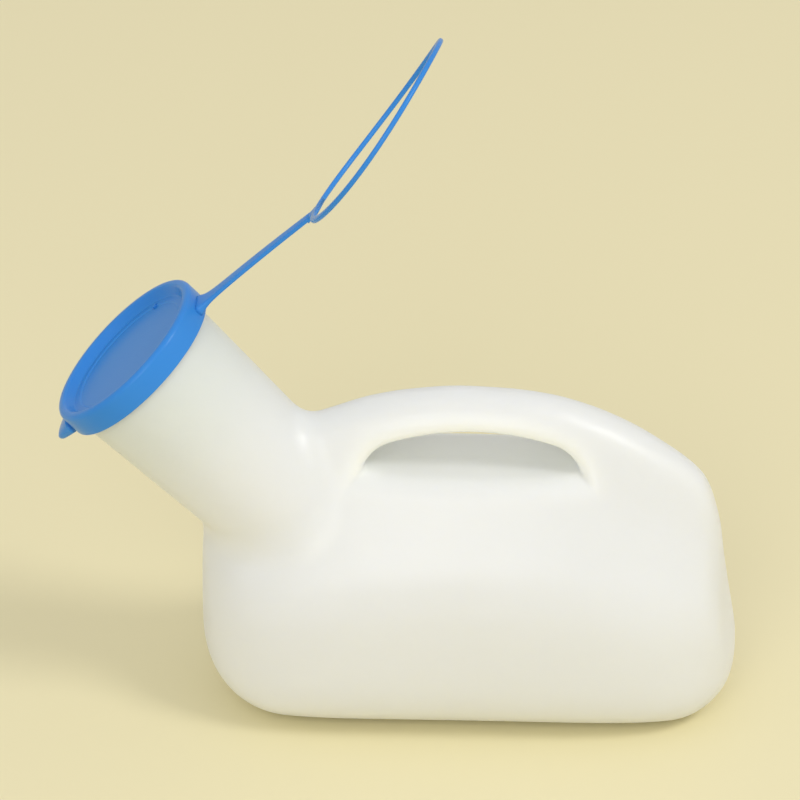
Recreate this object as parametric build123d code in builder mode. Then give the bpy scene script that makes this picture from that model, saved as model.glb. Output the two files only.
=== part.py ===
# Hand-held urine bottle: a blow-moulded bottle with a slanted neck and a built-in
# handle, and a push-on lid moulded in one shot with a thumb tab, a tether strap and
# a retaining loop. Millimetres, +Z up, origin on the table under the bottle's middle,
# +X towards the closed end, the neck leaning towards -X.
from build123d import *
from math import cos, sin, radians
import os

os.makedirs("parts", exist_ok=True)

# ---- bottle body -----------------------------------------------------------
WALL = 2.0  # blow-moulded wall
# Cross-sections along the bottle: x, floor height, crown height, half width.
STATIONS = (
    (-101.0, 31.0, 58.0, 12.0),
    (-100.0, 23.0, 68.0, 19.0),
    (-96.6, 14.5, 83.0, 26.5),
    (-90.0, 7.4, 97.0, 33.0),
    (-80.0, 2.0, 108.0, 38.0),
    (-65.0, -0.5, 116.0, 41.5),
    (-45.0, -0.5, 124.0, 43.0),
    (-22.0, -0.5, 129.8, 43.5),
    (2.0, -0.5, 131.2, 43.5),
    (26.0, -0.5, 128.8, 43.5),
    (48.0, -0.5, 122.2, 42.5),
    (66.0, -0.5, 112.4, 41.0),
    (79.0, 0.2, 103.0, 38.0),
    (88.0, 3.6, 92.0, 33.0),
    (94.5, 9.0, 72.0, 26.5),
    (99.0, 15.5, 49.0, 19.0),
    (101.0, 21.5, 38.0, 11.0),
)
# Right half of one section, as shares of its half width and its height.
SECTION = (
    (0.80, 0.05),
    (0.96, 0.19),
    (1.0, 0.36),
    (0.90, 0.54),
    (0.66, 0.68),
    (0.46, 0.79),
    (0.31, 0.90),
    (0.20, 0.968),
)
FLAT = 0.46  # flat base, as a share of the half width

# ---- finger gap under the handle -------------------------------------------
GAP_X = (-42.0, 43.0)  # ends of the gap
GAP_FLOOR, GAP_SIDE, GAP_ROOF = 101.5, 111.0, 119.5
GAP_CORNER = 5.0
GAP_FLARE = 4.0  # rounding where the gap opens into the sides

# ---- neck, measured back from the closed lid's top along its own axis -------
TILT = radians(46.7)  # above horizontal
LID_TOP = (-128.8, 0.0, 146.3)
MOUTH, ROOT = -5.6, -96.0
NECK_R_MOUTH, NECK_R_ROOT = 30.7, 26.4
LIP_R, LIP_HEIGHT, LIP_CORNER = 31.6, 2.2, 0.6
NECK_FILLET = 5.0

# ---- lid --------------------------------------------------------------------
LID_R, LID_HEIGHT, LID_CORNER = 34.0, 10.0, 1.6
SKIRT_WALL, TOP_WALL = 1.6, 1.6
BEAD = 0.45  # bead inside the skirt's lower edge, holds under the lip
RECESS_R_TOP, RECESS_R, RECESS_DEPTH = 30.4, 28.6, 3.6
PLUG_R, PLUG_WALL, PLUG_END = 28.1, 1.5, -9.0  # ring that enters the neck
PIP_AT, PIP_R, PIP_HEIGHT = (11.0, 23.0), 1.1, 0.7  # gate mark on the recess floor
TAB_REACH, TAB_WIDTH, TAB_TIP_WIDTH = 9.3, 15.0, 4.0
TAB_TOP, TAB_BASE, TAB_TIP = -4.2, -11.8, -9.0

# ---- strap and loop ---------------------------------------------------------
STRAP_AT = -6.6  # height of the strap's root on the lid's skirt
STRAP_RISE = radians(-0.5)  # the strap leaves the skirt at this angle
STRAP_LENGTH, STRAP_THICK, STRAP_TAPER = 53.4, 1.8, 8.0
STRAP_WIDTH_ROOT, STRAP_WIDTH_NECK, STRAP_WIDTH_END = 9.0, 6.2, 5.0
HINGE_GAP = 0.3
LOOP_BEND = radians(13.0)  # the loop leaves the strap at this angle
LOOP_R, LOOP_BAND, LOOP_THICK, LOOP_EDGE = 40.8, 3.0, 2.0, 0.6
LOOP_AT = 2.0  # from the hinge to the ring
WEB_LENGTH, WEB_WIDTH = 7.0, 8.0
LOOP_TWIST = 12.6  # degrees, about the strap's length

UP = (-cos(TILT), 0, sin(TILT))  # out of the mouth
OUT = (sin(TILT), 0, cos(TILT))  # across the lid, towards the handle
NECK = Plane(LID_TOP, x_dir=OUT, z_dir=(0, -1, 0))
AXIS = Axis(LID_TOP, UP)


def across(out, up):
    """A point in the bottle's middle plane, given in the lid's own directions."""
    return tuple(p + out * a + up * b for p, a, b in zip(LID_TOP, OUT, UP))


def leaving(angle):
    """Directions along and out of a strap that leaves the lid's plane at an angle."""
    along = tuple(o * cos(angle) + u * sin(angle) for o, u in zip(OUT, UP))
    above = tuple(u * cos(angle) - o * sin(angle) for o, u in zip(OUT, UP))
    return along, above


def section(low, high, half, inset):
    """Outline of one egg-shaped section from base edge over the crown to base edge."""
    low, high, half = low + inset, high - inset, half - inset
    side = [(y * half, low + z * (high - low)) for y, z in ((FLAT, 0.0), *SECTION)]
    return side + [(0, high)] + [(-y, z) for y, z in reversed(side)]


# The outside of the bottle as a solid block.
with BuildPart() as outside:
    for x, low, high, half in STATIONS:
        pts = section(low, high, half, 0.0)
        with BuildSketch(Plane.YZ.offset(x)):
            with BuildLine():
                Spline(*pts)
                Line(pts[-1], pts[0])
            make_face()
    loft()
    with BuildSketch(NECK):
        with BuildLine():
            base, end = (NECK_R_ROOT, ROOT), (NECK_R_MOUTH, MOUTH)
            Polyline((0, ROOT), base, end, (0, MOUTH), close=True)
        make_face()
    revolve(axis=AXIS)
    crease = outside.edges(Select.LAST).filter_by(GeomType.BSPLINE)
    fillet(crease, NECK_FILLET)
    with BuildSketch(Plane.XZ) as opening:
        with BuildLine():
            left, right = GAP_X
            Polyline((left, GAP_SIDE), (left, GAP_FLOOR), (right, GAP_FLOOR), (right, GAP_SIDE))
            ThreePointArc((right, GAP_SIDE), ((left + right) / 2, GAP_ROOF), (left, GAP_SIDE))
        make_face()
        fillet(opening.vertices(), GAP_CORNER)
    extrude(amount=60, both=True, mode=Mode.SUBTRACT)
    rims = [e for e in outside.edges(Select.LAST) if e.geom_type != GeomType.LINE]
    fillet([e for e in rims if abs(e.center().Y) > 4], GAP_FLARE)

# The space inside it, one wall smaller all round.
with BuildPart() as cavity:
    for x, low, high, half in STATIONS:
        pts = section(low, high, half, WALL)
        with BuildSketch(Plane.YZ.offset(x * (1 - WALL / STATIONS[-1][0]))):
            with BuildLine():
                Spline(*pts)
                Line(pts[-1], pts[0])
            make_face()
    loft()
    with BuildSketch(Plane.XZ) as opening:
        with BuildLine():
            left, right = GAP_X[0] - WALL, GAP_X[1] + WALL
            low, side, roof = GAP_FLOOR - WALL, GAP_SIDE + WALL / 2, GAP_ROOF + WALL
            Polyline((left, side), (left, low), (right, low), (right, side))
            ThreePointArc((right, side), ((left + right) / 2, roof), (left, side))
        make_face()
        fillet(opening.vertices(), GAP_CORNER + WALL)
    extrude(amount=60, both=True, mode=Mode.SUBTRACT)
    rims = [e for e in cavity.edges(Select.LAST) if e.geom_type != GeomType.LINE]
    fillet([e for e in rims if abs(e.center().Y) > 4], GAP_FLARE - WALL)
    with BuildSketch(NECK):
        with BuildLine():
            low, top = ROOT + 8, MOUTH + 5
            base, end = (NECK_R_ROOT - WALL, low), (NECK_R_MOUTH - WALL + 0.2, top)
            Polyline((0, low), base, end, (0, top), close=True)
        make_face()
    revolve(axis=AXIS)

with BuildPart() as bottle:
    add(outside.part)
    with BuildSketch(NECK):
        with BuildLine():
            low, wall = MOUTH - LIP_HEIGHT, NECK_R_MOUTH - 1
            Polyline(
                (wall, MOUTH),
                (LIP_R - LIP_CORNER, MOUTH),
                (LIP_R, MOUTH - LIP_CORNER),
                (LIP_R, low + LIP_CORNER),
                (LIP_R - LIP_CORNER, low),
                (wall, low - 1.5),
                close=True,
            )
        make_face()
    revolve(axis=AXIS)
    with Locations((0, 0, -10)):
        Box(300, 120, 20, mode=Mode.SUBTRACT)
    add(cavity.part, mode=Mode.SUBTRACT)
bottle.part.label = "bottle"
export_step(bottle.part, "parts/bottle.step")

with BuildPart() as lid:
    skirt = LID_R - SKIRT_WALL
    under = -RECESS_DEPTH - TOP_WALL
    with BuildSketch(NECK) as profile:
        with BuildLine():
            Polyline(
                (0, -RECESS_DEPTH),
                (RECESS_R, -RECESS_DEPTH),
                (RECESS_R_TOP, 0),
                (LID_R, 0),
                (LID_R, -LID_HEIGHT),
                (skirt + 0.4, -LID_HEIGHT),
                (skirt - BEAD, -LID_HEIGHT + 0.9),
                (skirt, -LID_HEIGHT + 1.8),
                (skirt, -TOP_WALL - 0.8),
                (RECESS_R + 1.2, under),
                (PLUG_R, under),
                (PLUG_R, PLUG_END),
                (PLUG_R - PLUG_WALL, PLUG_END),
                (PLUG_R - PLUG_WALL, under),
                (0, under),
                close=True,
            )
        make_face()
        fillet(profile.vertices().filter_by(lambda v: v.X > LID_R - 0.1 and v.Y > -1), LID_CORNER)
    revolve(axis=AXIS)
    pip_foot = across(PIP_AT[0], -RECESS_DEPTH)
    with BuildSketch(Plane(pip_foot, x_dir=OUT, z_dir=UP)):
        with Locations((0, PIP_AT[1])):
            Circle(PIP_R)
    extrude(amount=PIP_HEIGHT)
    # Thumb tab: thick at the skirt, thin at its rounded tip.
    with BuildSketch(Plane(across(0, TAB_BASE), x_dir=OUT, z_dir=UP)) as tab:
        with BuildLine():
            tip, root = -LID_R - TAB_REACH, -LID_R + 0.8
            a, b = TAB_WIDTH / 2, TAB_TIP_WIDTH / 2
            Polyline((root, a), (tip, b), (tip, -b), (root, -a), close=True)
        make_face()
        fillet(tab.vertices().filter_by(lambda v: v.X < tip + 0.1), 1.9)
    extrude(amount=TAB_TOP - TAB_BASE)
    with BuildSketch(NECK):
        with BuildLine():
            high, corner = TAB_TOP + 5, (tip - 1, TAB_TIP)
            Polyline((-LID_R, high), (tip - 1, high), corner, (-LID_R, TAB_TOP - 0.6), close=True)
        make_face()
    extrude(amount=TAB_WIDTH, both=True, mode=Mode.SUBTRACT)
lid.part.label = "lid"
export_step(lid.part, "parts/lid.step")

# The strap is flat and meets the skirt at a living hinge.
root = across(LID_R + HINGE_GAP + STRAP_THICK / 2, STRAP_AT)
along, above = leaving(STRAP_RISE)
with BuildPart() as strap:
    with BuildSketch(Plane(root, x_dir=along, z_dir=above)):
        with BuildLine():
            a, b, c = STRAP_WIDTH_ROOT / 2, STRAP_WIDTH_NECK / 2, STRAP_WIDTH_END / 2
            upper = [(0, a), (STRAP_TAPER, b), (STRAP_LENGTH, c)]
            Polyline(*upper, *[(x, -y) for x, y in reversed(upper)], close=True)
        make_face()
    extrude(amount=STRAP_THICK / 2, both=True)
    with Locations(Plane(root, x_dir=along, z_dir=(0, 1, 0))):
        Cylinder(STRAP_THICK / 2, STRAP_WIDTH_ROOT)
strap.part.label = "strap"
export_step(strap.part, "parts/strap.step")

# The loop leaves the strap's end bent up and a little twisted.
reach = STRAP_LENGTH + HINGE_GAP + STRAP_THICK / 2
end = tuple(p + reach * a for p, a in zip(root, along))
along, above = leaving(LOOP_BEND)
hinge = Plane(end, x_dir=along, z_dir=above)
with BuildPart() as loop:
    with BuildSketch(hinge.rotated((-LOOP_TWIST, 0, 0))):
        with Locations((LOOP_R + LOOP_AT, 0)):
            Circle(LOOP_R)
            Circle(LOOP_R - LOOP_BAND, mode=Mode.SUBTRACT)
    extrude(amount=LOOP_THICK / 2, both=True)
    fillet(loop.edges(), LOOP_EDGE)
    with BuildSketch(hinge):
        with BuildLine():
            upper = [(0, STRAP_WIDTH_END / 2), (WEB_LENGTH, WEB_WIDTH / 2)]
            Polyline(*upper, *[(x, -y) for x, y in reversed(upper)], close=True)
        make_face()
    extrude(amount=STRAP_THICK / 2, both=True)
    with Locations(Plane(end, x_dir=along, z_dir=(0, 1, 0))):
        Cylinder(STRAP_THICK / 2, STRAP_WIDTH_END)
loop.part.label = "loop"
export_step(loop.part, "parts/loop.step")
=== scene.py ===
# Looks of the ward urine bottle: a milky blow-moulded bottle with a slanted neck and a
# hollow handle, and its blue push-on lid with thumb tab, tether strap and loop.
# Lengths are in millimetres up to MM, which turns them into metres for Blender.
import math

import bmesh
import bpy
import numpy as np
import openvdb
from mathutils import Matrix, Vector


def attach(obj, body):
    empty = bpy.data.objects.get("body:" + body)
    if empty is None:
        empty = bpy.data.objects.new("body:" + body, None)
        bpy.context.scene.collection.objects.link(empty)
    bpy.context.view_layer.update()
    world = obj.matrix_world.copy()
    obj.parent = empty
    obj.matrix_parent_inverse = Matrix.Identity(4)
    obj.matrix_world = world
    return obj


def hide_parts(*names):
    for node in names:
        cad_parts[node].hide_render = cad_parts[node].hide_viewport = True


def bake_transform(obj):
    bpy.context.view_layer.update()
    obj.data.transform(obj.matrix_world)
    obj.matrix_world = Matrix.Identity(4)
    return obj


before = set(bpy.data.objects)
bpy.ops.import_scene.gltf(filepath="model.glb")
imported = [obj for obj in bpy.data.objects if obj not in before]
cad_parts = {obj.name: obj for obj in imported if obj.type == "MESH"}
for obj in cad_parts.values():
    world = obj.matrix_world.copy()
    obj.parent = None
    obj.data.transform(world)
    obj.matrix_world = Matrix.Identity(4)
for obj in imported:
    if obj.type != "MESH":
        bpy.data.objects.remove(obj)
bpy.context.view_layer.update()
MM = 0.001

# ---------------------------------------------------------------- directions
TILT = math.radians(46.7)
UP = np.array([-math.cos(TILT), 0.0, math.sin(TILT)])  # out of the bottle's mouth
OUT = np.array([math.sin(TILT), 0.0, math.cos(TILT)])  # across the lid, to the handle
SIDE = np.array([0.0, 1.0, 0.0])
LID_TOP = np.array([-128.8, 0.0, 146.3])  # middle of the closed lid's top

# ---------------------------------------------------------------- bottle sizes, mm
LENGTH, HALF_WIDTH = 101.0, 43.3
WIDEST = 0.36  # height of the widest line, as a share of the crown height
# Crown line of the body: x, height.
CROWN = (
    (-101, 60), (-100, 71), (-96.6, 83), (-90, 96.5), (-80, 107.5), (-65, 115.8), (-52, 120.9),
    (-37, 126.4), (-22, 129.5), (-4, 131.1), (14, 130.3), (29, 128.2), (44, 123.7), (59, 116.7),
    (74, 107), (81.6, 101.1), (87, 95.5), (90, 89.5), (92.2, 82), (94, 74.3), (95.7, 61),
    (97.7, 48.5), (99.7, 37), (101, 29),
)
# Upper half of a cross-section, from its widest line to the crown: share of the way
# round, then share of the half width, and share of the height.
SHOULDER_Y = (
    (0, 1), (0.1, 0.985), (0.22, 0.90), (0.42, 0.66), (0.57, 0.46), (0.72, 0.31), (0.80, 0.24),
    (0.85, 0.195), (0.92, 0.10), (1.0, 0),
)
SHOULDER_Z = (
    (0, 0), (0.1, 0.11), (0.22, 0.28), (0.42, 0.50), (0.57, 0.673), (0.72, 0.845), (0.80, 0.923),
    (0.85, 0.956), (0.92, 0.99), (1.0, 1),
)
CORNER_NEAR_NECK, CORNER_FAR = 32.0, 24.0  # lower corners, seen from the side
WALL = 1.9
# Neck, measured back from the lid's top along its own axis.
MOUTH, NECK_ROOT, BORE_ROOT = -5.6, -96.0, -60.0
NECK_R, NECK_TAPER, NECK_BLEND = 30.7, 0.0475, 7.0
LIP_R, LIP_ROUND, LIP_BLEND = 30.3, 1.2, 1.2
LIP_SQUASH = 1.1  # the lip is this much flatter than round, along the neck
# Finger gap: a slot with a flat floor and an arched roof.
GAP_X, GAP_HALF, GAP_FLOOR = 0.5, 42.0, 102.0
ARCH_Z, ARCH_R = 17.9, 100.0
GAP_CORNER, GAP_FLARE = 13.0, 6.5
# Base: a standing rim round a slightly raised middle.
PANEL_X, PANEL_HALF, PANEL_CORNER = -2.0, (66.0, 13.0), 6.0
PANEL_RISE, PANEL_EDGE, RIM_BLEND = 0.9, 4.0, 0.6
# Block of space the bottle is shaped in, and the grid step in it.
LOW_CORNER, HIGH_CORNER = np.array([-152.0, -48.0, -6.0]), np.array([110.0, 48.0, 168.0])
VOXEL = 1.15
BAND = 14.0  # how deep below the body's face distances are kept


def smooth_steps(x, table):
    """Cubic through the table's points, without overshoot."""
    px, pz = np.array(table, float).T
    h, d = np.diff(px), np.diff(pz) / np.diff(px)
    same = np.sign(d[:-1]) == np.sign(d[1:])
    inner = np.where(same, 2 * d[:-1] * d[1:] / np.where(same, d[:-1] + d[1:], 1), 0)
    m = np.concatenate([[d[0]], inner, [d[-1]]])
    i = np.clip(np.searchsorted(px, x) - 1, 0, len(h) - 1)
    t = (x - px[i]) / h[i]
    a, b = (1 + 2 * t) * (1 - t) ** 2, t * (1 - t) ** 2
    c, e = t * t * (3 - 2 * t), t * t * (t - 1)
    return a * pz[i] + b * h[i] * m[i] + c * pz[i + 1] + e * h[i] * m[i + 1]


def body_loft():
    """Points and quads of the closed egg-shaped body."""
    n_x, n_s = 180, 120
    x = 0.9995 * LENGTH * np.sin(np.linspace(-math.pi / 2, math.pi / 2, n_x))
    half = HALF_WIDTH * (1 - (np.abs(x) / LENGTH) ** 4.6) ** (1 / 2.3)
    low = np.full(n_x, -0.5)
    for r, side in ((CORNER_NEAR_NECK, -1), (CORNER_FAR, 1)):
        past = np.clip(side * x - (LENGTH - r), 0, r)
        low = np.maximum(low, r - np.sqrt(r * r - past * past) - 0.5)
    high = smooth_steps(x, CROWN)
    mid = low + WIDEST * (high - low)
    s = np.linspace(0, 2 * math.pi, n_s, endpoint=False)
    c, q = np.cos(s), np.sin(s)
    turn = np.abs(np.arctan2(np.abs(q), np.abs(c))) / (math.pi / 2)
    up_y, up_z = smooth_steps(turn, SHOULDER_Y), smooth_steps(turn, SHOULDER_Z)
    dn_y, dn_z = np.abs(c) ** (2 / 3.4), np.abs(q) ** (2 / 3.4)
    y = np.sign(c) * np.where(q >= 0, up_y, dn_y)
    pts = np.zeros((n_x, n_s, 3))
    pts[..., 0] = x[:, None]
    pts[..., 1] = half[:, None] * y
    rise = np.where(q >= 0, up_z * (high - mid)[:, None], -dn_z * (mid - low)[:, None])
    pts[..., 2] = mid[:, None] + rise
    i, j = np.meshgrid(np.arange(n_x - 1), np.arange(n_s), indexing="ij")
    k = (j + 1) % n_s
    quads = np.stack([i * n_s + j, i * n_s + k, (i + 1) * n_s + k, (i + 1) * n_s + j], -1)
    quads = quads.reshape(-1, 4)
    pts = pts.reshape(-1, 3)
    caps = []
    for row in (0, n_x - 1):
        pts = np.vstack([pts, pts[row * n_s : (row + 1) * n_s].mean(0)])
        centre = len(pts) - 1
        ring = row * n_s + np.arange(n_s)
        nxt = np.roll(ring, -1)
        tri = np.stack([ring, np.full(n_s, centre), nxt], -1)
        caps.append(tri if row == 0 else tri[:, ::-1])
    return pts, quads, np.vstack(caps)


def smin(a, b, k):
    """Union of two shapes, run into each other over a width k."""
    h = np.clip(0.5 + 0.5 * (b - a) / k, 0, 1)
    return b + (a - b) * h - k * h * (1 - h)


def smax(a, b, k):
    """What two shapes share, with its edge rounded over a width k."""
    return -smin(-a, -b, k)


def soften(field, passes):
    """Blurs the distance field a little, so that no facet of the loft shows."""
    for _ in range(passes):
        for a in range(3):
            before, after = np.roll(field, 1, a), np.roll(field, -1, a)
            field = 0.5 * field + 0.25 * (before + after)
    return field


def sample(field, at):
    """Value and slope of the field between its grid points."""
    base = np.clip(np.floor(at).astype(int), 0, np.array(field.shape) - 2)
    f = at - base
    value, slope = np.zeros(len(at)), np.zeros((len(at), 3))
    for corner in range(8):
        bit = np.array([corner >> 2 & 1, corner >> 1 & 1, corner & 1])
        v = field[tuple((base + bit).T)]
        share = np.where(bit, f, 1 - f)
        value += v * share.prod(1)
        for a in range(3):
            rest = np.delete(share, a, 1).prod(1)
            slope[:, a] += v * rest * (1 if bit[a] else -1)
    return value, slope


def body_field(shape):
    """Distance from the body's face at each grid point, negative inside."""
    pts, quads, tris = body_loft()
    grid = openvdb.FloatGrid.createLevelSetFromPolygons(
        ((pts - LOW_CORNER) / VOXEL).astype(np.float32),
        triangles=tris.astype(np.uint32),
        quads=quads.astype(np.uint32),
        transform=openvdb.createLinearTransform(1.0),
        halfWidth=BAND / VOXEL,
    )
    field = np.zeros(shape, np.float32)
    grid.copyToArray(field)
    return soften(field * VOXEL, 4)


def bottle_fields():
    """Distances from the bottle's outer face and from the face of the space in it."""
    shape = np.ceil((HIGH_CORNER - LOW_CORNER) / VOXEL).astype(int) + 1
    lines = [LOW_CORNER[a] + VOXEL * np.arange(shape[a]) for a in range(3)]
    x, y, z = np.meshgrid(*lines, indexing="ij", sparse=True)
    w = (x - LID_TOP[0]) * UP[0] + (z - LID_TOP[2]) * UP[2]
    n = (x - LID_TOP[0]) * OUT[0] + (z - LID_TOP[2]) * OUT[2]
    r = np.sqrt(n * n + y * y)
    neck_r = NECK_R + NECK_TAPER * np.clip(w - MOUTH, -90, 0)
    neck = np.maximum(r - neck_r, NECK_ROOT - w)
    skin = smin(body_field(shape), neck, NECK_BLEND)
    slot = np.maximum(np.abs(x - GAP_X) - GAP_HALF, GAP_FLOOR - z)
    arch = np.sqrt((x - GAP_X) ** 2 + (z - ARCH_Z) ** 2) - ARCH_R
    skin = smax(skin, -smax(slot, arch, GAP_CORNER), GAP_FLARE)
    long_way, short_way = np.abs(x - PANEL_X) - PANEL_HALF[0], np.abs(y) - PANEL_HALF[1]
    panel = smax(long_way, short_way, PANEL_CORNER)
    panel = np.clip(1 + panel / PANEL_EDGE, 0, 1)
    skin = smax(skin, (1 - panel) * PANEL_RISE - z, RIM_BLEND)
    inner = skin + WALL
    inner = np.minimum(inner, np.maximum(r - neck_r + WALL, BORE_ROOT - w))
    skin = np.maximum(skin, w - MOUTH + 0 * y)
    along_lip = np.abs(w - MOUTH + LIP_ROUND) * LIP_SQUASH
    lip = np.sqrt((r - LIP_R) ** 2 + along_lip ** 2) - LIP_ROUND
    return smin(skin, lip, LIP_BLEND), inner


def bottle_mesh():
    """The bottle as one skin: body, neck and handle run into each other softly."""
    skin, inner = bottle_fields()
    out = openvdb.FloatGrid(6.0)
    out.copyFromArray(np.clip(np.maximum(skin, -inner), -6, 6).astype(np.float32))
    verts, faces = out.convertToQuads(0.0)
    # Each point is drawn onto the face it belongs to, outer or inner.
    on_outer = np.abs(sample(skin, verts)[0]) < np.abs(sample(inner, verts)[0])
    for face, chosen in ((skin, on_outer), (inner, ~on_outer)):
        for _ in range(3):
            value, slope = sample(face, verts[chosen])
            steep = np.maximum((slope * slope).sum(1), 0.2)
            verts[chosen] -= slope * (value / steep)[:, None]
    verts = (verts * VOXEL + LOW_CORNER) * MM
    mesh = bpy.data.meshes.new("bottle_skin")
    mesh.from_pydata(verts.tolist(), [], faces.tolist())
    mesh.update()
    return mesh


def add_object(name, mesh):
    ob = bpy.data.objects.new(name, mesh)
    bpy.context.scene.collection.objects.link(ob)
    mesh.polygons.foreach_set("use_smooth", [True] * len(mesh.polygons))
    return ob


def rounded(corners):
    """Corner points (r, w, radius) turned into a line with arcs at the corners."""
    line, count = [], len(corners)
    for i, (r, w, radius) in enumerate(corners):
        p = np.array([r, w])
        if radius == 0:
            line.append(p)
            continue
        a = np.array(corners[i - 1][:2]) - p
        b = np.array(corners[(i + 1) % count][:2]) - p
        a, b = a / np.linalg.norm(a), b / np.linalg.norm(b)
        angle = math.acos(np.clip(a @ b, -1, 1))
        reach = radius / math.tan(angle / 2)
        centre = p + (a + b) / np.linalg.norm(a + b) * radius / math.sin(angle / 2)
        u, v = p + a * reach - centre, p + b * reach - centre
        turn = math.pi - angle
        for step in range(7):
            t = step / 6
            k1, k2 = math.sin((1 - t) * turn), math.sin(t * turn)
            line.append(centre + (u * k1 + v * k2) / math.sin(turn))
    return line


def place(out, up, side=0.0):
    """A point given in the lid's own directions."""
    return LID_TOP + OUT * out + UP * up + SIDE * side


def lathe(name, line, turns=160):
    """Spins a closed outline round the neck's axis; points at radius 0 are poles."""
    bm = bmesh.new()
    rings = []
    for r, w in line:
        if r < 1e-6:
            rings.append([bm.verts.new(place(0, w) * MM)])
            continue
        ring = []
        for j in range(turns):
            a = 2 * math.pi * j / turns
            ring.append(bm.verts.new(place(r * math.cos(a), w, r * math.sin(a)) * MM))
        rings.append(ring)
    for a, b in zip(rings, rings[1:]):
        for j in range(turns):
            k = (j + 1) % turns
            if len(a) == 1:
                bm.faces.new((a[0], b[j], b[k]))
            elif len(b) == 1:
                bm.faces.new((a[j], a[k], b[0]))
            else:
                bm.faces.new((a[j], a[k], b[k], b[j]))
    bmesh.ops.recalc_face_normals(bm, faces=bm.faces)
    mesh = bpy.data.meshes.new(name)
    bm.to_mesh(mesh)
    bm.free()
    return mesh


def sweep(name, stations, closed=False, corners=12, power=3.0):
    """Skin over oval sections: each station is centre, across, normal, half sizes."""
    bm = bmesh.new()
    rings = []
    for centre, across, normal, a, b in stations:
        ring = []
        for j in range(corners):
            t = 2 * math.pi * j / corners
            c, s = math.cos(t), math.sin(t)
            p = centre + across * a * math.copysign(abs(c) ** (2 / power), c)
            p = p + normal * b * math.copysign(abs(s) ** (2 / power), s)
            ring.append(bm.verts.new(p * MM))
        rings.append(ring)
    pairs = list(zip(rings, rings[1:])) + ([(rings[-1], rings[0])] if closed else [])
    for a, b in pairs:
        for j in range(corners):
            k = (j + 1) % corners
            bm.faces.new((a[j], a[k], b[k], b[j]))
    if not closed:
        bm.faces.new(rings[0])
        bm.faces.new(rings[-1])
    bmesh.ops.recalc_face_normals(bm, faces=bm.faces)
    mesh = bpy.data.meshes.new(name)
    bm.to_mesh(mesh)
    bm.free()
    return mesh


def join(base, *others):
    """Adds the other meshes to the base mesh."""
    bm = bmesh.new()
    for m in (base, *others):
        bm.from_mesh(m)
    bm.to_mesh(base)
    bm.free()
    return base


# ---------------------------------------------------------------- bottle
bottle = add_object("Bottle_skin", bottle_mesh())
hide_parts("bottle")
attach(bottle, "bottle")

# ---------------------------------------------------------------- lid
LID_R, LID_H, RECESS = 33.95, 9.95, 3.6
FLOOR, CEILING = -RECESS - 0.4, -RECESS - 1.6  # sunk middle, and the underside of it
PLUG_R, PLUG_WALL, PLUG_END = 28.1, 1.5, -9.0
lid_line = rounded([
    (0, FLOOR, 0), (4, FLOOR, 0), (10, FLOOR, 0), (16, FLOOR, 0), (21, FLOOR, 0),
    (25.0, FLOOR, 0.3), (25.7, -RECESS, 0.3), (28.3, -RECESS, 1.0), (30.2, -0.7, 1.0),
    (31.0, -0.05, 1.0), (LID_R, -0.05, 1.9), (LID_R, -LID_H + 0.1, 0.5),
    (33.0, -LID_H + 0.1, 0.3), (32.0, -LID_H + 1.0, 0.4), (32.4, -LID_H + 1.8, 0.4),
    (32.4, -2.6, 0.6), (30.0, CEILING, 0.6), (PLUG_R, CEILING, 0.2), (PLUG_R, PLUG_END, 0.5),
    (PLUG_R - PLUG_WALL, PLUG_END, 0.5), (PLUG_R - PLUG_WALL, CEILING, 0.3),
    (20, CEILING, 0), (12, CEILING, 0), (5, CEILING, 0), (0, CEILING, 0),
])
lid_mesh = lathe("lid_shell", lid_line)
# Gate mark, off the middle.
pip = rounded([(0, 0.6, 0), (1.0, 0.6, 0.25), (1.25, -0.8, 0), (0, -0.8, 0)])
pip_mesh = lathe("gate_pip", pip, 24)
pip_mesh.transform(Matrix.Translation((place(11.0, -RECESS, 23.0) - LID_TOP) * MM))
# Thumb tab: thick at the skirt, running out to a rounded tip.
TAB_ROOT, TAB_REACH, TAB_SIDE, TAB_STEPS = -33.2, 9.8, -2.5, 12
TAB_HALF, TIP_HALF = 7.4, 1.9
TAB_TOP, TOP_DROP = -4.4, 4.8
TAB_BASE, BASE_DROP = -11.0, 0.6
tab_stations = []
for i in range(TAB_STEPS + 1):
    t = math.sin(i / TAB_STEPS * math.pi / 2)
    end = math.sqrt(max(0.0, 1 - t * t))
    half = TAB_HALF * (1 - t) ** 0.8 + TIP_HALF * end ** 0.8 + 0.25
    top, base = TAB_TOP - TOP_DROP * t, TAB_BASE - BASE_DROP * t
    thick = (top - base) / 2 * (0.25 + 0.75 * min(1.0, end * 1.6))
    centre = place(TAB_ROOT - TAB_REACH * t, (top + base) / 2, TAB_SIDE)
    tab_stations.append((centre, SIDE, UP, half, thick))
lid = add_object("Lid_shell", join(lid_mesh, pip_mesh, sweep("tab", tab_stations, corners=24)))
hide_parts("lid")
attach(lid, "lid")

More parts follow.
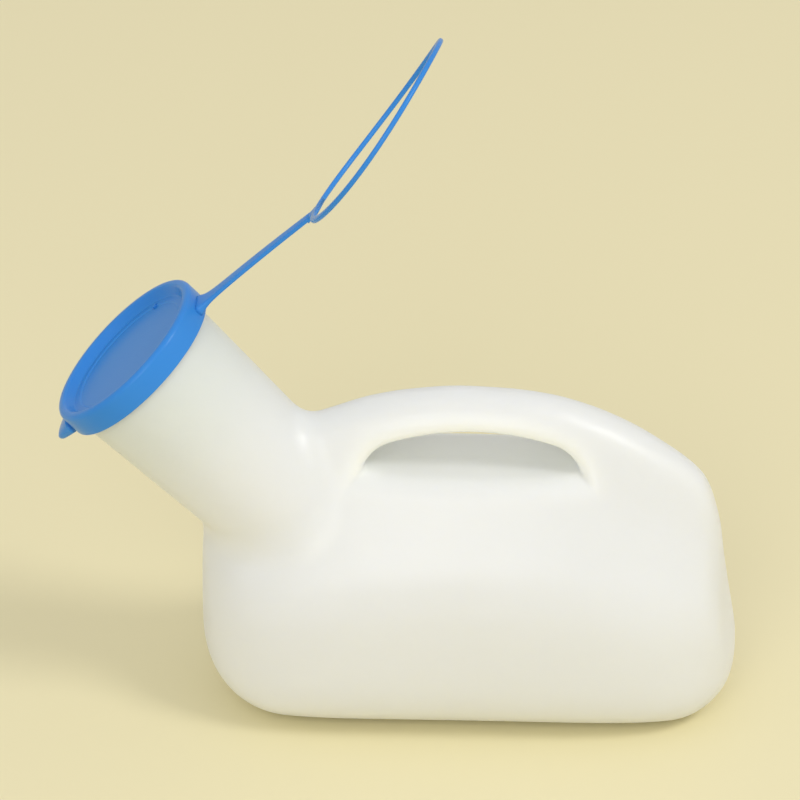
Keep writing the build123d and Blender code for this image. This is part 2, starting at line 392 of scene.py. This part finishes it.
# ---------------------------------------------------------------- strap
STRAP_AT, STRAP_LEN, STRAP_STEPS = -6.6, 53.4, 32
SKIRT_R, HINGE = 34.0, 1.2  # lid's side, and from there to the middle of the flex line
STRAP_HALF, ROOT_SPREAD, END_TAPER = 3.1, 2.6, 0.9
STRAP_THICK, ROOT_THICK, ROOT_FADE, STRAP_BOW = 0.85, 1.5, 3.6, 0.35
RISE = math.radians(-0.5)
ALONG = OUT * math.cos(RISE) + UP * math.sin(RISE)
ABOVE = UP * math.cos(RISE) - OUT * math.sin(RISE)
STRAP_ROOT = place(SKIRT_R + HINGE, STRAP_AT)
strap_stations = []
for i in range(STRAP_STEPS + 1):
    t = i / STRAP_STEPS
    reach = -2.2 + (STRAP_LEN + 3.0) * t
    root = math.exp(-max(0.0, reach + HINGE) / ROOT_FADE)
    half = STRAP_HALF + ROOT_SPREAD * root - END_TAPER * t
    thick = STRAP_THICK + ROOT_THICK * root ** 1.6 - 0.1 * t
    centre = STRAP_ROOT + ALONG * reach + ABOVE * STRAP_BOW * math.sin(math.pi * t)
    strap_stations.append((centre, SIDE, ABOVE, half, thick))
strap = add_object("Tether_strap", sweep("strap", strap_stations, corners=24, power=4.5))
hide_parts("strap")
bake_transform(strap)

# ---------------------------------------------------------------- loop
BEND, TWIST = math.radians(13.0), math.radians(10.6)
LONG = OUT * math.cos(BEND) + UP * math.sin(BEND)
FLAT = UP * math.cos(BEND) - OUT * math.sin(BEND)
NORMAL = FLAT * math.cos(TWIST) + SIDE * math.sin(TWIST)
WIDE = SIDE * math.cos(TWIST) - FLAT * math.sin(TWIST)
ROOT = STRAP_ROOT + ALONG * (STRAP_LEN + HINGE)
LOOP_R, LOOP_C, BOW = 39.0, 42.4, 2.2
RING_HALF = (1.35, 0.95)  # half width and half thickness of the ring
WEB_START, WEB_LEN, WEB_HALF, WEB_SPREAD = -2.0, 7.3, 2.2, 0.33


def sag(u):
    """How far the loop hangs below a straight line, at a distance from the hinge."""
    share = max(u, 0.0) / (LOOP_C + LOOP_R)
    return BOW * 4 * share * (1 - share)


LOOP_STEPS = 120
loop_stations = []
for i in range(LOOP_STEPS):
    a = 2 * math.pi * i / LOOP_STEPS
    radial = LONG * math.cos(a) + WIDE * math.sin(a)
    u = LOOP_C + LOOP_R * math.cos(a)
    centre = ROOT + LONG * LOOP_C + radial * LOOP_R - NORMAL * sag(u)
    loop_stations.append((centre, radial, NORMAL, *RING_HALF))
loop_mesh = sweep("loop", loop_stations, closed=True, corners=16, power=3.0)
# Web: the strap's end spreads into the ring.
WEB_STEPS = 12
web_stations = []
for i in range(WEB_STEPS + 1):
    u = WEB_START + WEB_LEN * i / WEB_STEPS
    turn = min(1.0, max(0.0, (u + 1) / 5))
    normal = UP * (1 - turn) + NORMAL * turn
    normal = normal / np.linalg.norm(normal)
    across = np.cross(normal, LONG)
    across = across / np.linalg.norm(across)
    half = WEB_HALF + WEB_SPREAD * max(0.0, u) ** 2
    centre = ROOT + LONG * u - NORMAL * sag(u)
    web_stations.append((centre, across, normal, half, 0.8 - 0.03 * u))
join(loop_mesh, sweep("web", web_stations, corners=20, power=4.0))
loop = add_object("Retaining_loop", loop_mesh)
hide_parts("loop")
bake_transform(loop)


# ---------------------------------------------------------------- materials
def new_material(name):
    mat = bpy.data.materials.new(name)
    mat.use_nodes = True
    tree = mat.node_tree
    return mat, tree, tree.nodes["Principled BSDF"]


def node(tree, kind, **inputs):
    """A new node with some of its sockets set."""
    n = tree.nodes.new(kind)
    for key, value in inputs.items():
        n.inputs[key.replace("_", " ")].default_value = value
    return n


def plastic(name, colour, second, mottle, roughness, rough_span, bumps, sss, sss_radius, sss_scale):
    """Moulded plastic: slow colour drift, uneven gloss, fine skin texture."""
    mat, tree, bsdf = new_material(name)
    link = tree.links.new
    where = tree.nodes.new("ShaderNodeTexCoord")
    drift = node(tree, "ShaderNodeTexNoise", Scale=mottle, Detail=3.0, Roughness=0.5)
    link(where.outputs["Object"], drift.inputs["Vector"])
    ramp = tree.nodes.new("ShaderNodeValToRGB")
    ramp.color_ramp.elements[0].position = 0.3
    ramp.color_ramp.elements[0].color = (*colour, 1)
    ramp.color_ramp.elements[1].position = 0.7
    ramp.color_ramp.elements[1].color = (*second, 1)
    link(drift.outputs["Fac"], ramp.inputs["Fac"])
    link(ramp.outputs["Color"], bsdf.inputs["Base Color"])
    gloss = node(tree, "ShaderNodeMapRange", To_Min=roughness, To_Max=roughness + rough_span)
    smear = node(tree, "ShaderNodeTexNoise", Scale=mottle * 6, Detail=4.0, Roughness=0.6)
    link(where.outputs["Object"], smear.inputs["Vector"])
    link(smear.outputs["Fac"], gloss.inputs["Value"])
    link(gloss.outputs["Result"], bsdf.inputs["Roughness"])
    height = None
    for scale, strength, distance in bumps:
        grain = node(tree, "ShaderNodeTexNoise", Scale=scale, Detail=2.0, Roughness=0.5)
        link(where.outputs["Object"], grain.inputs["Vector"])
        bump = node(tree, "ShaderNodeBump", Strength=strength, Distance=distance)
        link(grain.outputs["Fac"], bump.inputs["Height"])
        if height:
            link(height.outputs["Normal"], bump.inputs["Normal"])
        height = bump
    link(height.outputs["Normal"], bsdf.inputs["Normal"])
    bsdf.inputs["Subsurface Weight"].default_value = sss
    bsdf.inputs["Subsurface Radius"].default_value = sss_radius
    bsdf.inputs["Subsurface Scale"].default_value = sss_scale
    bsdf.inputs["IOR"].default_value = 1.5
    return mat, tree, bsdf, where, height


hdpe, tree, bsdf, where, last = plastic(
    "HDPE_natural", colour=(0.885, 0.905, 0.87), second=(0.87, 0.89, 0.85), mottle=9.0,
    roughness=0.30, rough_span=0.12, bumps=((55.0, 0.25, 0.0006), (420.0, 0.12, 0.0002)),
    sss=0.8, sss_radius=(1.0, 0.97, 0.85), sss_scale=0.006,
)
link = tree.links.new
# Mould parting line round the bottle's middle plane.
split = tree.nodes.new("ShaderNodeSeparateXYZ")
link(where.outputs["Object"], split.inputs["Vector"])
away = node(tree, "ShaderNodeMath")
away.operation = "ABSOLUTE"
link(split.outputs["Y"], away.inputs[0])
ridge = node(tree, "ShaderNodeMapRange", From_Min=0.0002, From_Max=0.0008, To_Min=1.0, To_Max=0.0)
ridge.interpolation_type = "SMOOTHSTEP"
link(away.outputs[0], ridge.inputs["Value"])
seam = node(tree, "ShaderNodeBump", Strength=0.15, Distance=0.0002)
link(ridge.outputs["Result"], seam.inputs["Height"])
link(last.outputs["Normal"], seam.inputs["Normal"])
link(seam.outputs["Normal"], bsdf.inputs["Normal"])
# Painted shade: towards the lid the neck's colour is multiplied darker, standing in for the lid's
# shadow and the lower light that comes up through the neck.
along_neck = node(tree, "ShaderNodeVectorMath")
along_neck.operation = "DOT_PRODUCT"
link(where.outputs["Object"], along_neck.inputs[0])
along_neck.inputs[1].default_value = tuple(UP)
lid_end = float(LID_TOP @ UP) * MM
fade = node(tree, "ShaderNodeMapRange", From_Min=lid_end - 0.075, From_Max=lid_end - 0.015)
fade.interpolation_type = "SMOOTHSTEP"
link(along_neck.outputs["Value"], fade.inputs["Value"])
painted_neck_shade = node(tree, "ShaderNodeMix")
painted_neck_shade.data_type, painted_neck_shade.blend_type = "RGBA", "MULTIPLY"
link(fade.outputs["Result"], painted_neck_shade.inputs["Factor"])
link(bsdf.inputs["Base Color"].links[0].from_socket, painted_neck_shade.inputs["A"])
# colour of the painted shade near the lid
painted_neck_shade.inputs["B"].default_value = (0.84, 0.875, 0.86, 1)
link(painted_neck_shade.outputs["Result"], bsdf.inputs["Base Color"])
bottle.data.materials.append(hdpe)

blue, _, blue_bsdf, _, _ = plastic(
    "PE_blue", colour=(0.034, 0.225, 0.65), second=(0.042, 0.245, 0.69), mottle=10.0,
    roughness=0.26, rough_span=0.06, bumps=((90.0, 0.06, 0.0003), (260.0, 0.02, 0.0001)),
    sss=0.12, sss_radius=(0.2, 0.5, 1.0), sss_scale=0.002,
)
blue_bsdf.inputs["Specular IOR Level"].default_value = 0.18
for ob in (lid, strap, loop):
    ob.data.materials.append(blue)

# ---------------------------------------------------------------- floor, light, camera
bpy.ops.mesh.primitive_plane_add(size=6, location=(0, 1.2, 0))
floor = bpy.context.object
floor.name = "Floor"
pale, _, floor_bsdf = new_material("Pale_floor")
floor_bsdf.inputs["Base Color"].default_value = (0.80, 0.73, 0.47, 1)
floor_bsdf.inputs["Roughness"].default_value = 0.55
floor.data.materials.append(pale)


def area(name, place_m, target, size, power, colour=(1, 1, 1)):
    """A soft round light, in metres and watts."""
    data = bpy.data.lights.new(name, "AREA")
    data.shape = "DISK"
    data.size = size
    data.energy = power
    data.color = colour
    ob = bpy.data.objects.new(name, data)
    bpy.context.scene.collection.objects.link(ob)
    ob.location = place_m
    ob.rotation_euler = (Vector(target) - Vector(place_m)).to_track_quat("-Z", "Y").to_euler()


area("Key", (1.9, -0.9, 2.6), (0, 0, 0.06), 1.0, 31.0, (1.0, 0.99, 0.97))
area("Front", (-0.6, -3.2, 2.0), (0, 0, 0.06), 2.4, 41.0)
world = bpy.data.worlds.new("Soft_room")
world.use_nodes = True
sky = world.node_tree.nodes["Background"]
sky.inputs["Color"].default_value = (1.0, 0.985, 0.94, 1)
sky.inputs["Strength"].default_value = 0.685
bpy.context.scene.world = world
bpy.context.scene.view_settings.view_transform = "Standard"

# A long lens from well away, a little above the bottle.
AZ, EL, FAR_AWAY = math.radians(1.93), math.radians(30.3), 1.8
BACK = Vector((math.sin(AZ) * math.cos(EL), -math.cos(AZ) * math.cos(EL), math.sin(EL)))
TARGET = Vector((-0.0263, 0.0, 0.1260))
camera_data = bpy.data.cameras.new("Camera")
camera_data.sensor_width = 36.0
camera_data.lens = 218.9
camera = bpy.data.objects.new("Camera", camera_data)
bpy.context.scene.collection.objects.link(camera)
camera.location = TARGET + BACK * FAR_AWAY
camera.rotation_euler = (-BACK).to_track_quat("-Z", "Y").to_euler()
bpy.context.scene.camera = camera
